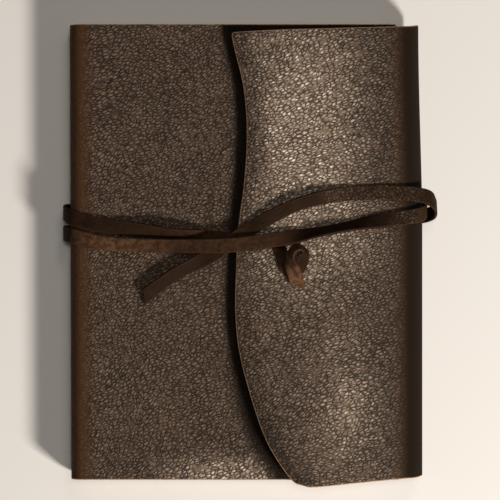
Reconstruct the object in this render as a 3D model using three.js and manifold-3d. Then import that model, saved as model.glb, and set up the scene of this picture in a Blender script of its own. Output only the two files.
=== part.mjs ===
// A refillable A5 notebook cover in one piece of pebbled leather, closed by a flat leather lace.
// Millimetres. The notebook lies on its back cover: +X runs from the spine to the fore-edge,
// +Y to the head, +Z out of the front cover. The origin is the middle of the footprint.
import * as THREE from "three";
import { mergeVertices } from "three/addons/utils/BufferGeometryUtils.js";
import Module from "manifold-3d";

const wasm = await Module();
wasm.setup();

// Driving dimensions
const GAP = 0.3; // clearance between pieces that touch
const LEATHER = 1.6; // thickness of the cover's leather
const SLEEVE = 0.9; // thickness of the inner sleeves
const LACE_WIDTH = 7;
const LACE = 1.3; // thickness of the lace

const SPINE_X = -85.7; // outer face of the spine
const FORE_EDGE_X = 82.3; // outer face of the fore-edge
const HEAD_Y = 109.9;
const TAIL_Y = -107.2;
const FORE_EDGE_TAIL_Y = -105.2; // the leather is cut a little shorter at the fore-edge
const FRONT_END_X = 71; // free edge of the front cover, under the flap
const FRONT_CORNER = 2; // radius of the corners at that free edge

const SPINE_BEND = 6; // outer radius of the two folds at the spine
const FORE_EDGE_BEND = 8; // outer radius of the two folds at the fore-edge

const PAGE = { width: 148, height: 210, middleY: 1.3 };
const BOARD = { width: 148, height: 212, thickness: 1.2, corner: 4 };
const SIGNATURES = 8;
const SIGNATURE = 1.1; // thickness of one sewn signature
const SIGNATURE_GAP = 0.15;
const LINING = 0.5; // cloth glued along the backs of the signatures
const LINING_SHORT = 8; // the cloth stops this far from the head and the tail of the pages
const SPINE_STRIP = 0.8;

const SLEEVE_WIDTH = 62;
const SLEEVE_RIM = 2.2; // width of the glued rim on three sides of a sleeve

const SLIT = { x: 13, y: 4.2, width: 8, height: 2.2 }; // where the lace comes out of the flap
const UNDER_FLAP = LACE + 2 * GAP - 0.05; // the flap lies over one strand of the lace

// Heights, from the surface that the notebook lies on
const BACK_Z = LACE + GAP;
const BACK_BOARD_Z = BACK_Z + LEATHER + GAP;
const BACK_SLEEVE_Z = BACK_BOARD_Z + BOARD.thickness + GAP;
const PAGES_Z = BACK_SLEEVE_Z + SLEEVE + GAP;
const PAGES = SIGNATURES * SIGNATURE + (SIGNATURES - 1) * SIGNATURE_GAP;
const FRONT_SLEEVE_Z = PAGES_Z + PAGES + GAP;
const FRONT_BOARD_Z = FRONT_SLEEVE_Z + SLEEVE + GAP;
const FRONT_Z = FRONT_BOARD_Z + BOARD.thickness + GAP;
const FLAP_Z = FRONT_Z + LEATHER + UNDER_FLAP;
const FLAP_TOP_Z = FLAP_Z + LEATHER;

const BOARD_X = SPINE_X + SPINE_BEND + 0.2;
const PAGES_X = SPINE_X + LEATHER + SPINE_STRIP + LINING + 3 * GAP;

const material = (name, color, roughness) =>
  new THREE.MeshStandardMaterial({ name, color, roughness, metalness: 0 });
const COVER_LEATHER = material("cover_leather", 0x4a3d33, 0.45);
const SLEEVE_LEATHER = material("sleeve_leather", 0x43362c, 0.6);
const LACE_LEATHER = material("lace_leather", 0x4e3a2a, 0.7);
const PAPER = material("page_paper", 0xece3cf, 0.9);
const BOARD_PAPER = material("refill_board", 0x2c2a2b, 0.8);
const LINING_CLOTH = material("lining_cloth", 0xcfc8b8, 0.95);

function mesh(name, geometry, finish) {
  const made = new THREE.Mesh(geometry, finish);
  made.name = name;
  return made;
}

function group(...meshes) {
  const made = new THREE.Group();
  made.add(...meshes);
  return made;
}

// A box from its low corner to its high corner.
function box(low, high) {
  const size = high.map((value, axis) => value - low[axis]);
  const geometry = new THREE.BoxGeometry(...size);
  return geometry.translate(...low.map((value, axis) => value + size[axis] / 2));
}

// A shape drawn in XY, made a plate from one height up.
function plate(shape, z, thickness, curveSegments = 4) {
  const geometry = new THREE.ExtrudeGeometry(shape, {
    depth: thickness,
    bevelEnabled: false,
    curveSegments,
  });
  return geometry.translate(0, 0, z);
}

// A profile drawn in XZ, run from the tail of the book to its head.
function alongBook(profile, tailY, headY, curveSegments = 6) {
  const geometry = new THREE.ExtrudeGeometry(profile, {
    depth: headY - tailY,
    bevelEnabled: false,
    curveSegments,
  });
  return geometry.rotateX(Math.PI / 2).translate(0, headY, 0);
}

function roundedRectangle(lowX, lowY, highX, highY, radius) {
  const shape = new THREE.Shape();
  shape.moveTo(lowX + radius, lowY);
  shape.lineTo(highX - radius, lowY);
  shape.absarc(highX - radius, lowY + radius, radius, -Math.PI / 2, 0, false);
  shape.lineTo(highX, highY - radius);
  shape.absarc(highX - radius, highY - radius, radius, 0, Math.PI / 2, false);
  shape.lineTo(lowX + radius, highY);
  shape.absarc(lowX + radius, highY - radius, radius, Math.PI / 2, Math.PI, false);
  shape.lineTo(lowX, lowY + radius);
  shape.absarc(lowX + radius, lowY + radius, radius, Math.PI, 1.5 * Math.PI, false);
  return shape;
}

function solidOf(geometry) {
  const bare = geometry.clone();
  bare.deleteAttribute("normal");
  bare.deleteAttribute("uv");
  const merged = mergeVertices(bare, 1e-4);
  return new wasm.Manifold(
    new wasm.Mesh({
      numProp: 3,
      vertProperties: new Float32Array(merged.attributes.position.array),
      triVerts: new Uint32Array(merged.index.array),
    }),
  );
}

function join(...geometries) {
  const whole = geometries.map(solidOf).reduce((sum, solid) => sum.add(solid));
  const { vertProperties, triVerts } = whole.getMesh();
  const geometry = new THREE.BufferGeometry();
  geometry.setAttribute("position", new THREE.BufferAttribute(vertProperties, 3));
  geometry.setIndex(new THREE.BufferAttribute(triVerts, 1));
  geometry.computeVertexNormals();
  return geometry;
}

// A fold of the leather: a quarter of a ring about an axis along Y. It starts at the angle given.
function fold(centreX, centreZ, radius, startAngle, tailY) {
  const inset = GAP / radius / 2; // leaves a gap to the flat panels at both ends
  const from = startAngle + inset;
  const to = startAngle + Math.PI / 2 - inset;
  const profile = new THREE.Shape();
  profile.absarc(centreX, centreZ, radius, from, to, false);
  profile.absarc(centreX, centreZ, radius - LEATHER, to, from, true);
  profile.closePath();
  return alongBook(profile, tailY, HEAD_Y);
}

// The leather shell, panel by panel
const spineCentreX = SPINE_X + SPINE_BEND;
const spineLowZ = BACK_Z + SPINE_BEND;
const spineHighZ = FRONT_Z + LEATHER - SPINE_BEND;
const foreEdgeCentreX = FORE_EDGE_X - FORE_EDGE_BEND;
const foreEdgeLowZ = BACK_Z + FORE_EDGE_BEND;
const foreEdgeHighZ = FLAP_TOP_Z - FORE_EDGE_BEND;

function backCover() {
  const low = [spineCentreX + GAP / 2, TAIL_Y, BACK_Z];
  return box(low, [foreEdgeCentreX - GAP / 2, HEAD_Y, BACK_Z + LEATHER]);
}

function frontCover() {
  const shape = new THREE.Shape();
  const corner = FRONT_CORNER;
  const startX = spineCentreX + GAP / 2;
  shape.moveTo(startX, TAIL_Y);
  shape.lineTo(FRONT_END_X - corner, TAIL_Y);
  shape.absarc(FRONT_END_X - corner, TAIL_Y + corner, corner, -Math.PI / 2, 0, false);
  shape.lineTo(FRONT_END_X, HEAD_Y - corner);
  shape.absarc(FRONT_END_X - corner, HEAD_Y - corner, corner, 0, Math.PI / 2, false);
  shape.lineTo(startX, HEAD_Y);
  shape.closePath();
  return plate(shape, FRONT_Z, LEATHER);
}

// The flap's free edge swells towards the spine in two places and sweeps away to a low corner.
const FLAP_FREE_EDGE = [
  [-8.4, 104.5],
  [-7.5, 98.5],
  [-2.9, 78.8],
  [-1.5, 56.8],
  [-2.9, 34],
  [-5.6, 14],
  [-6.8, -8],
  [-7, -30],
  [-4.5, -49.6],
  [2.7, -75.3],
  [9.3, -91.5],
  [19.3, -106.4],
  [25.2, -109.4],
  [31.4, -110.1],
];

function flap() {
  const endX = foreEdgeCentreX - GAP / 2;
  const shape = new THREE.Shape();
  shape.moveTo(endX, HEAD_Y - 1.3);
  shape.lineTo(16.2, 106.9);
  shape.lineTo(-7.2, 105.7);
  shape.splineThru(FLAP_FREE_EDGE.map(([x, y]) => new THREE.Vector2(x, y)));
  shape.lineTo(49.5, -108.4);
  shape.lineTo(endX, FORE_EDGE_TAIL_Y - 1);
  shape.closePath();
  const slit = new THREE.Path();
  slit.moveTo(SLIT.x - SLIT.width / 2, SLIT.y - SLIT.height / 2);
  slit.lineTo(SLIT.x - SLIT.width / 2, SLIT.y + SLIT.height / 2);
  slit.lineTo(SLIT.x + SLIT.width / 2, SLIT.y + SLIT.height / 2);
  slit.lineTo(SLIT.x + SLIT.width / 2, SLIT.y - SLIT.height / 2);
  slit.closePath();
  shape.holes.push(slit);
  return plate(shape, FLAP_Z, LEATHER, 4);
}

function spinePanel() {
  const low = [SPINE_X, TAIL_Y, spineLowZ + GAP / 2];
  return box(low, [SPINE_X + LEATHER, HEAD_Y, spineHighZ - GAP / 2]);
}

function foreEdgePanel() {
  const low = [FORE_EDGE_X - LEATHER, FORE_EDGE_TAIL_Y, foreEdgeLowZ + GAP / 2];
  return box(low, [FORE_EDGE_X, HEAD_Y, foreEdgeHighZ - GAP / 2]);
}

// A sleeve: a leaf over one end of a board, with a rim on three sides that is glued to the cover.
function sleeve(leafZ, coverZ) {
  const rimEndX = BOARD_X + BOARD.width + GAP + SLEEVE_RIM;
  const startX = rimEndX - SLEEVE_WIDTH;
  const lowY = PAGE.middleY - BOARD.height / 2 - GAP - SLEEVE_RIM;
  const highY = PAGE.middleY + BOARD.height / 2 + GAP + SLEEVE_RIM;
  const leaf = box([startX, lowY, leafZ], [rimEndX, highY, leafZ + SLEEVE]);
  const rim = new THREE.Shape();
  rim.moveTo(startX, lowY);
  rim.lineTo(rimEndX, lowY);
  rim.lineTo(rimEndX, highY);
  rim.lineTo(startX, highY);
  rim.lineTo(startX, highY - SLEEVE_RIM);
  rim.lineTo(rimEndX - SLEEVE_RIM, highY - SLEEVE_RIM);
  rim.lineTo(rimEndX - SLEEVE_RIM, lowY + SLEEVE_RIM);
  rim.lineTo(startX, lowY + SLEEVE_RIM);
  rim.closePath();
  const middleOfLeaf = leafZ + SLEEVE / 2;
  const lowZ = Math.min(coverZ, middleOfLeaf);
  return join(leaf, plate(rim, lowZ, Math.max(coverZ, middleOfLeaf) - lowZ));
}

function board(z) {
  const lowY = PAGE.middleY - BOARD.height / 2;
  const outline = roundedRectangle(
    BOARD_X,
    lowY,
    BOARD_X + BOARD.width,
    lowY + BOARD.height,
    BOARD.corner,
  );
  return plate(outline, z, BOARD.thickness);
}

// Folded sheets: square at the fore-edge and round at the fold.
function signature(index) {
  const lowZ = PAGES_Z + index * (SIGNATURE + SIGNATURE_GAP);
  const radius = SIGNATURE / 2;
  const profile = new THREE.Shape();
  profile.moveTo(PAGES_X + PAGE.width, lowZ);
  profile.lineTo(PAGES_X + PAGE.width, lowZ + SIGNATURE);
  profile.absarc(PAGES_X + radius, lowZ + radius, radius, Math.PI / 2, 1.5 * Math.PI, false);
  profile.closePath();
  const lowY = PAGE.middleY - PAGE.height / 2;
  return alongBook(profile, lowY, lowY + PAGE.height);
}

function spineLining() {
  const lowX = PAGES_X - GAP - LINING;
  const halfHeight = PAGE.height / 2 - LINING_SHORT;
  const low = [lowX, PAGE.middleY - halfHeight, PAGES_Z + SIGNATURE / 2];
  return box(low, [lowX + LINING, PAGE.middleY + halfHeight, PAGES_Z + PAGES - SIGNATURE / 2]);
}

function refillSpineStrip() {
  const lowX = SPINE_X + LEATHER + GAP;
  const halfHeight = BOARD.height / 2;
  const low = [lowX, PAGE.middleY - halfHeight, spineLowZ];
  return box(low, [lowX + SPINE_STRIP, PAGE.middleY + halfHeight, spineHighZ]);
}

// A flat strap along a route. Each stop on the route is [x, y, z, facing], where facing is the
// way that the strap's outer face looks there.
const UP = [0, 0, 1];
const DOWN = [0, 0, -1];
const LEFT = [-1, 0, 0];
const RIGHT = [1, 0, 0];

function strap(stops, width = LACE_WIDTH, stepsPerStop = 4) {
  const curve = new THREE.CatmullRomCurve3(
    stops.map(([x, y, z]) => new THREE.Vector3(x, y, z)),
    false,
    "centripetal",
  );
  const spans = stops.length - 1;
  const rings = spans * stepsPerStop;
  const positions = [];
  for (let ring = 0; ring <= rings; ring++) {
    const along = ring / stepsPerStop;
    const span = Math.min(Math.floor(along), spans - 1);
    const centre = curve.getPoint(ring / rings);
    const forward = curve.getTangent(ring / rings);
    const facing = new THREE.Vector3(...stops[span][3]);
    facing.lerp(new THREE.Vector3(...stops[span + 1][3]), along - span);
    facing.addScaledVector(forward, -facing.dot(forward)).normalize();
    const across = new THREE.Vector3().crossVectors(facing, forward);
    for (const [side, layer] of [[-1, -1], [1, -1], [1, 1], [-1, 1]]) {
      const corner = centre.clone();
      corner.addScaledVector(across, (side * width) / 2);
      corner.addScaledVector(facing, (layer * LACE) / 2);
      positions.push(corner.x, corner.y, corner.z);
    }
  }
  const faces = [];
  for (let ring = 0; ring < rings; ring++) {
    for (let side = 0; side < 4; side++) {
      const a = ring * 4 + side;
      const b = ring * 4 + ((side + 1) % 4);
      faces.push(a, b, b + 4, a, b + 4, a + 4);
    }
  }
  const last = rings * 4;
  faces.push(0, 2, 1, 0, 3, 2);
  faces.push(last, last + 1, last + 2, last, last + 2, last + 3);
  const geometry = new THREE.BufferGeometry();
  geometry.setAttribute("position", new THREE.Float32BufferAttribute(positions, 3));
  geometry.setIndex(faces);
  geometry.computeVertexNormals();
  return geometry;
}

// The strands under the back run between these two places, and each turn goes on past a gap
const UNDER_BACK = LACE / 2;
const BACK_START_X = -78;
const BACK_END_X = 75;
const TURN_GAP = 1;
const UPPER_BACK_Y = [21, 27];
const LOWER_BACK_Y = [10.5, 17.8];

function underBack([startY, endY]) {
  return strap(
    [
      [BACK_START_X, startY, UNDER_BACK, DOWN],
      [BACK_END_X, endY, UNDER_BACK, DOWN],
    ],
    LACE_WIDTH,
    1,
  );
}

// From the slit, under the flap, over the front cover and round the spine. It tilts on its edge
// beside the second turn.
function firstTurn() {
  return strap([
    [9.4, 3, 21.6, UP],
    [4, 4.2, 21.6, UP],
    [-4.8, 6.2, 21.6, UP],
    [-12, 7.4, 21.6, UP],
    [-20, 8.3, 21.8, [0, -0.1, 1]],
    [-27, 9, 23.3, [0, -0.5, 0.87]],
    [-35, 9.9, 24, [0, -0.75, 0.66]],
    [-45, 11, 23.6, [0, -0.6, 0.8]],
    [-55, 12.1, 22.6, [0, -0.3, 0.95]],
    [-66, 13.3, 21.8, [0, -0.08, 1]],
    [-78, 15.4, 21.6, UP],
    [-84.8, 17.6, 20.3, [-0.4, 0, 0.9]],
    [-88.2, 19.4, 16, LEFT],
    [-88.9, 20.4, 11, LEFT],
    [-88, 20.9, 5.6, LEFT],
    [-84.3, 21, 1.5, [-0.5, 0, -0.85]],
    [BACK_START_X - TURN_GAP, UPPER_BACK_Y[0], UNDER_BACK, DOWN],
  ]);
}

// Round the fore-edge, back over the flap and the front cover, and round the spine again.
function secondTurn() {
  return strap([
    [BACK_END_X + TURN_GAP, UPPER_BACK_Y[1], UNDER_BACK, DOWN],
    [80.6, 26.3, 2, [0.5, 0, -0.85]],
    [83.6, 24.3, 7, RIGHT],
    [84.1, 22, 14, RIGHT],
    [83.2, 20, 20.6, RIGHT],
    [80, 18.8, 24.1, [0.5, 0, 0.85]],
    [75.5, 18, 25.05, UP],
    [68, 17, 25.2, [0, 0.1, 1]],
    [60, 15.9, 26.2, [0, 0.35, 0.94]],
    [50, 14.1, 27.2, [0, 0.75, 0.66]],
    [40, 12.2, 27.5, [0, 0.82, 0.57]],
    [30, 10.2, 27.2, [0, 0.75, 0.66]],
    [20, 8.5, 27.1, [0, 0.35, 0.94]],
    [12, 7.2, 27.1, [0, 0.1, 1]],
    [4, 6, 26.9, [0, -0.05, 1]],
    [-4.8, 5, 26.8, [0, -0.12, 0.99]],
    [-11, 4.4, 26.7, [0, -0.15, 0.99]],
    [-17, 4.2, 26.3, [0, -0.2, 0.98]],
    [-23, 4.2, 25.6, [0, -0.25, 0.97]],
    [-29, 4.2, 24.5, [0, -0.32, 0.95]],
    [-36, 4.3, 23.6, [0, -0.38, 0.92]],
    [-46, 4.4, 23.4, [0, -0.38, 0.92]],
    [-59, 4.8, 22.8, [0, -0.25, 0.97]],
    [-72, 5.9, 21.8, [0, -0.08, 1]],
    [-79.5, 7.6, 21.6, UP],
    [-85.6, 9.2, 19.8, [-0.5, 0, 0.85]],
    [-88.4, 10.2, 15.5, LEFT],
    [-88.9, 10.6, 11, LEFT],
    [-88, 10.7, 5.6, LEFT],
    [-84.3, 10.6, 1.5, [-0.5, 0, -0.85]],
    [BACK_START_X - TURN_GAP, LOWER_BACK_Y[0], UNDER_BACK, DOWN],
  ]);
}

// A loose loop outside the first at the fore-edge, then under the strand above and out to the end.
function lastTurn() {
  return strap([
    [BACK_END_X + TURN_GAP, LOWER_BACK_Y[1], UNDER_BACK, DOWN],
    [82, 18.5, 1.6, [0.4, 0, -0.9]],
    [87.2, 19.8, 6, RIGHT],
    [88.85, 21.5, 12.5, RIGHT],
    [88, 24.3, 19, RIGHT],
    [84.5, 27.3, 23.9, [0.6, 0, 0.8]],
    [79, 28.6, 25.3, UP],
    [70, 29.3, 25.05, UP],
    [62.4, 29.7, 25.05, UP],
    [50, 29.2, 25.3, [0, -0.1, 1]],
    [40, 28.2, 26.1, [0.05, -0.3, 0.95]],
    [30, 26.2, 26.8, [0.15, -0.5, 0.85]],
    [20.5, 23.2, 27, [0.25, -0.5, 0.83]],
    [12, 19.2, 26.4, [0.2, -0.38, 0.9]],
    [5, 15.2, 25.5, [0.1, -0.18, 0.98]],
    [0, 12.3, 25.05, UP],
    [-5.5, 8.6, 25.05, UP],
    [-10, 5.3, 24.9, UP],
    [-16, 1.2, 23.5, [0.05, -0.08, 1]],
    [-22.5, -2.4, 22.6, [0.1, -0.2, 0.97]],
    [-30, -6, 23, [0.2, -0.4, 0.9]],
    [-40.5, -12.4, 23.3, [0.25, -0.45, 0.86]],
    [-50.5, -20, 22.9, [0.2, -0.35, 0.9]],
  ]);
}

// The stopper: the lace comes up through the slit and is knotted on the flap.
const KNOT_MIDDLE = [21.8, -3.4, FLAP_TOP_Z + 3.1];
const KNOT_SIZE = [6, 6, 2.7]; // half its extent along X, Y and Z
const NECK_WIDTH = 6.2; // the lace is crushed where it goes into the knot

function knot() {
  const [x, y, z] = KNOT_MIDDLE;
  const body = new THREE.SphereGeometry(1, 16, 10);
  body.rotateX(Math.PI / 2).scale(...KNOT_SIZE).translate(x, y, z);
  const neck = strap(
    [
      [SLIT.x, SLIT.y, FLAP_Z - 1.4, [0, 1, 0]],
      [SLIT.x, SLIT.y - 0.3, FLAP_TOP_Z + 0.1, [0, 1, 0]],
      [SLIT.x + 1, SLIT.y - 1.2, FLAP_TOP_Z + 1.2, [-0.4, 0.6, 0.7]],
      [SLIT.x + 4, SLIT.y - 4.2, FLAP_TOP_Z + 1.9, [-0.4, 0, 1]],
      [x - 1.5, y, z - 1, UP],
    ],
    NECK_WIDTH,
  );
  const end = strap([
    [x - 0.8, y - 2, z + 0.4, UP],
    [21.7, -11, z + 0.1, UP],
    [22.1, -14.7, FLAP_TOP_Z + 1.8, UP],
  ]);
  return join(body, neck, end);
}

const signatures = Array.from({ length: SIGNATURES }, (_, index) =>
  mesh(`signature_${index + 1}`, signature(index), PAPER),
);
const foldAt = (name, x, z, radius, angle, tailY) =>
  mesh(name, fold(x, z, radius, angle, tailY), COVER_LEATHER);
const { PI } = Math;

const part = new THREE.Group();
part.add(
  group(
    mesh("back_cover_leather", backCover(), COVER_LEATHER),
    foldAt("spine_back_fold", spineCentreX, spineLowZ, SPINE_BEND, PI, TAIL_Y),
    foldAt(
      "fore_edge_back_fold",
      foreEdgeCentreX,
      foreEdgeLowZ,
      FORE_EDGE_BEND,
      1.5 * PI,
      FORE_EDGE_TAIL_Y,
    ),
    mesh("back_sleeve", sleeve(BACK_SLEEVE_Z, BACK_Z + LEATHER + GAP), SLEEVE_LEATHER),
    mesh("refill_back_board", board(BACK_BOARD_Z), BOARD_PAPER),
    mesh("refill_spine_lining", spineLining(), LINING_CLOTH),
    ...signatures.slice(0, SIGNATURES / 2),
  ),
  group(...signatures.slice(SIGNATURES / 2)),
  group(
    mesh("spine_leather", spinePanel(), COVER_LEATHER),
    foldAt("spine_front_fold", spineCentreX, spineHighZ, SPINE_BEND, PI / 2, TAIL_Y),
    mesh("refill_spine_strip", refillSpineStrip(), BOARD_PAPER),
  ),
  group(
    mesh("front_cover_leather", frontCover(), COVER_LEATHER),
    mesh("front_sleeve", sleeve(FRONT_SLEEVE_Z, FRONT_Z - GAP), SLEEVE_LEATHER),
    mesh("refill_front_board", board(FRONT_BOARD_Z), BOARD_PAPER),
  ),
  group(
    mesh("fore_edge_leather", foreEdgePanel(), COVER_LEATHER),
    foldAt("flap_fold", foreEdgeCentreX, foreEdgeHighZ, FORE_EDGE_BEND, 0, FORE_EDGE_TAIL_Y),
  ),
  group(
    mesh("flap_leather", flap(), COVER_LEATHER),
    mesh("lace_knot", knot(), LACE_LEATHER),
  ),
  group(
    mesh("lace_under_back_upper", underBack(UPPER_BACK_Y), LACE_LEATHER),
    mesh("lace_under_back_lower", underBack(LOWER_BACK_Y), LACE_LEATHER),
    mesh("lace_first_turn", firstTurn(), LACE_LEATHER),
    mesh("lace_second_turn", secondTurn(), LACE_LEATHER),
    mesh("lace_last_turn", lastTurn(), LACE_LEATHER),
  ),
);

// The origin goes to the middle of the whole footprint, on the surface.
const bounds = new THREE.Box3().setFromObject(part, true);
const middle = bounds.getCenter(new THREE.Vector3());
part.position.set(-middle.x, -middle.y, -bounds.min.z);

export default part;
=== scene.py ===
# A refillable notebook cover in pebbled leather: a wrap-over flap, and a flat lace wound round it.
import math

import bmesh
import bpy
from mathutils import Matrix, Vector
from mathutils import noise
from mathutils.geometry import delaunay_2d_cdt


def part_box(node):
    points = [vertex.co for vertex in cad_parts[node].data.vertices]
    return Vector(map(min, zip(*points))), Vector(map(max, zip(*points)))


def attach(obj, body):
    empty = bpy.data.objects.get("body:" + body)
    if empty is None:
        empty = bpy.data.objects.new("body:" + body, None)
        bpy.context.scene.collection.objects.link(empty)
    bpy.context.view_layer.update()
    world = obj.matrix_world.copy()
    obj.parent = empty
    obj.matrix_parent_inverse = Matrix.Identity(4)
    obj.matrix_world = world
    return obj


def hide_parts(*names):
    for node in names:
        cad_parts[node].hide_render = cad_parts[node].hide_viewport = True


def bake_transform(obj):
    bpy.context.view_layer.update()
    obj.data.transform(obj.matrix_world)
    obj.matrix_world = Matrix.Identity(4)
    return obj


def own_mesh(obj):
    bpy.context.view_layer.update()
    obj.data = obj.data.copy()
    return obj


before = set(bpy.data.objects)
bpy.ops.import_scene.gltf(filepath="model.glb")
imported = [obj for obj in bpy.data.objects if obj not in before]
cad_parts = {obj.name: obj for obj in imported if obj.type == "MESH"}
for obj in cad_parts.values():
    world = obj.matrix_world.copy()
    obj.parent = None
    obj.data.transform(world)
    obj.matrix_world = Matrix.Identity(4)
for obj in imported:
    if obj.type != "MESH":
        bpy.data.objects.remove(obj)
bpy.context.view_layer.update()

MM = 0.001
UP = (0, 0, 1)
DOWN = (0, 0, -1)
LEFT = (-1, 0, 0)
RIGHT = (1, 0, 0)

# ---- places that the frame gives
PANEL_GAP = 0.15 * MM  # each flat panel stops this far short of its fold
back_low, back_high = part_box("back_cover_leather")
spine_low, spine_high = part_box("spine_leather")
front_low, front_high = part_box("front_cover_leather")
fore_low, fore_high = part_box("fore_edge_leather")
flap_low, flap_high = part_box("flap_leather")

LEATHER = back_high.z - back_low.z
BACK_Z = (back_low.z + back_high.z) / 2  # the middles of the leather's thickness
FRONT_Z = (front_low.z + front_high.z) / 2
FLAP_Z = (flap_low.z + flap_high.z) / 2
SPINE_X = (spine_low.x + spine_high.x) / 2
FORE_EDGE_X = (fore_low.x + fore_high.x) / 2
SPINE_RADIUS = spine_low.z - PANEL_GAP - BACK_Z
FORE_EDGE_RADIUS = fore_low.z - PANEL_GAP - BACK_Z
HEAD_Y = back_high.y
TAIL_Y = back_low.y
FORE_EDGE_TAIL_Y = fore_low.y
FRONT_END_X = front_high.x

# The lace's route and the flap's edge are written from the same zero as the part's source
SPINE_ON_ROUTE = -0.0857
HEAD_ON_ROUTE = 0.1099
ROUTE_ZERO = Vector((spine_low.x - SPINE_ON_ROUTE, back_high.y - HEAD_ON_ROUTE, 0))
NEAR = 1e-6  # two places closer than this are one


# ---- adding things to the scene
def add_object(name, data):
    made = bpy.data.objects.new(name, data)
    bpy.context.scene.collection.objects.link(made)
    return made


def add_mesh(name, vertices, faces, materials, smooth=True):
    mesh = bpy.data.meshes.new(name)
    mesh.from_pydata([tuple(v) for v in vertices], [], faces)
    for finish in materials:
        mesh.materials.append(finish)
    for face in mesh.polygons:
        face.use_smooth = smooth
    return add_object(name, mesh)


# ---- camera, floor and light
VIEW_WIDTH = 0.238  # what the picture shows at the height of the front cover
VIEW_MIDDLE_Y = 0.0024
LENS = 180
SENSOR = 36
WARM = (1, 0.925, 0.85)
LIT_PLACE = (0.0, 0.0, 0.02)


def add_camera():
    data = bpy.data.cameras.new("camera")
    data.lens = LENS
    data.sensor_width = SENSOR
    camera = add_object("camera", data)
    distance = VIEW_WIDTH * LENS / SENSOR
    camera.location = (0, VIEW_MIDDLE_Y, front_high.z + distance)
    data.clip_start = 0.01
    data.clip_end = 10
    bpy.context.scene.camera = camera


def add_light(name, place, aim, size, power):
    """A square area light, aimed at a place."""
    data = bpy.data.lights.new(name, "AREA")
    data.size = size
    data.energy = power
    data.color = WARM
    light = add_object(name, data)
    light.location = place
    light.rotation_euler = (Vector(aim) - Vector(place)).to_track_quat("-Z", "Y").to_euler()


def add_floor():
    finish = bpy.data.materials.new("floor")
    finish.use_nodes = True
    shader = finish.node_tree.nodes["Principled BSDF"]
    shader.inputs["Base Color"].default_value = (0.78, 0.77, 0.75, 1)
    shader.inputs["Roughness"].default_value = 0.9
    corners = [(-3, -3, 0), (3, -3, 0), (3, 3, 0), (-3, 3, 0)]
    add_mesh("floor", corners, [(0, 1, 2, 3)], [finish], smooth=False)


def add_world(strength):
    world = bpy.data.worlds.new("studio")
    bpy.context.scene.world = world
    world.use_nodes = True
    background = world.node_tree.nodes["Background"]
    background.inputs["Color"].default_value = (1, 0.98, 0.95, 1)
    background.inputs["Strength"].default_value = strength


add_camera()
add_floor()
add_world(0.04)
bpy.context.scene.view_settings.view_transform = "Standard"
add_light("key", (0.90, -0.85, 0.85), LIT_PLACE, 0.26, 29)
add_light("second", (0.35, 0.95, 1.7), LIT_PLACE, 0.4, 3)
add_light("overhead", (0.09, 0.20, 2.2), (0.03, 0.05, 0.02), 0.35, 9)


# ---- materials
class Finish:
    """A material being wired up: each call adds a node and gives back its output."""

    def __init__(self, name):
        self.material = bpy.data.materials.new(name)
        self.material.use_nodes = True
        self.tree = self.material.node_tree
        self.shader = self.tree.nodes["Principled BSDF"]

    def feed(self, socket, value):
        if isinstance(value, bpy.types.NodeSocket):
            self.tree.links.new(value, socket)
        else:
            socket.default_value = value

    def node(self, kind, output, inputs, **settings):
        made = self.tree.nodes.new(kind)
        for key, value in settings.items():
            setattr(made, key, value)
        for key, value in inputs.items():
            self.feed(made.inputs[key], value)
        return made.outputs[output]

    def attribute(self, name, output="Vector"):
        return self.node("ShaderNodeAttribute", output, {}, attribute_name=name)

    def noise(self, vector, scale, detail=2.0, roughness=0.5, output="Fac"):
        inputs = {"Vector": vector, "Scale": scale, "Detail": detail, "Roughness": roughness}
        return self.node("ShaderNodeTexNoise", output, inputs)

    def voronoi(self, vector, scale, feature):
        inputs = {"Vector": vector, "Scale": scale}
        return self.node("ShaderNodeTexVoronoi", "Distance", inputs, feature=feature)

    def wave(self, vector, scale, direction, distortion=0.0):
        inputs = {"Vector": vector, "Scale": scale, "Distortion": distortion}
        return self.node("ShaderNodeTexWave", "Fac", inputs, bands_direction=direction)

    def place(self):
        return self.node("ShaderNodeTexCoord", "Object", {})

    def math(self, operation, a, b):
        return self.node("ShaderNodeMath", 0, {0: a, 1: b}, operation=operation)

    def times(self, a, b):
        return self.math("MULTIPLY", a, b)

    def plus(self, a, b):
        return self.math("ADD", a, b)

    def vector(self, operation, a, b):
        return self.node("ShaderNodeVectorMath", 0, {0: a, 1: b}, operation=operation)

    def ramp(self, value, low, high, to_low=0.0, to_high=1.0):
        sockets = ("Value", "From Min", "From Max", "To Min", "To Max")
        inputs = dict(zip(sockets, (value, low, high, to_low, to_high)))
        return self.node("ShaderNodeMapRange", 0, inputs, interpolation_type="SMOOTHSTEP")

    def mix(self, factor, a, b):
        made = self.tree.nodes.new("ShaderNodeMix")
        made.data_type = "RGBA"
        self.feed(made.inputs[0], factor)
        self.feed(made.inputs[6], a)
        self.feed(made.inputs[7], b)
        return made.outputs[2]

    def bump(self, height, distance):
        inputs = {"Height": height, "Distance": distance, "Strength": 1.0}
        self.feed(self.shader.inputs["Normal"], self.node("ShaderNodeBump", "Normal", inputs))

    def surface(self, color, roughness, specular):
        self.feed(self.shader.inputs["Base Color"], color)
        self.feed(self.shader.inputs["Roughness"], roughness)
        self.shader.inputs["Specular IOR Level"].default_value = specular
        return self.material


def srgb(*parts):
    """A colour given as three values from 0 to 255, as the shader wants it."""
    shares = [part / 255 for part in parts]
    linear = [c / 12.92 if c <= 0.04045 else ((c + 0.055) / 1.055) ** 2.4 for c in shares]
    return (*linear, 1)


GRAIN = 1.65 * MM  # from one pebble of the grain to the next
GRAIN_SLANT = 0.46  # radians; the pebbles are longer this way
PEBBLE_SHAPE = (0.72, 1.32, 1)  # how the pattern is squeezed along and across that way


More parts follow.
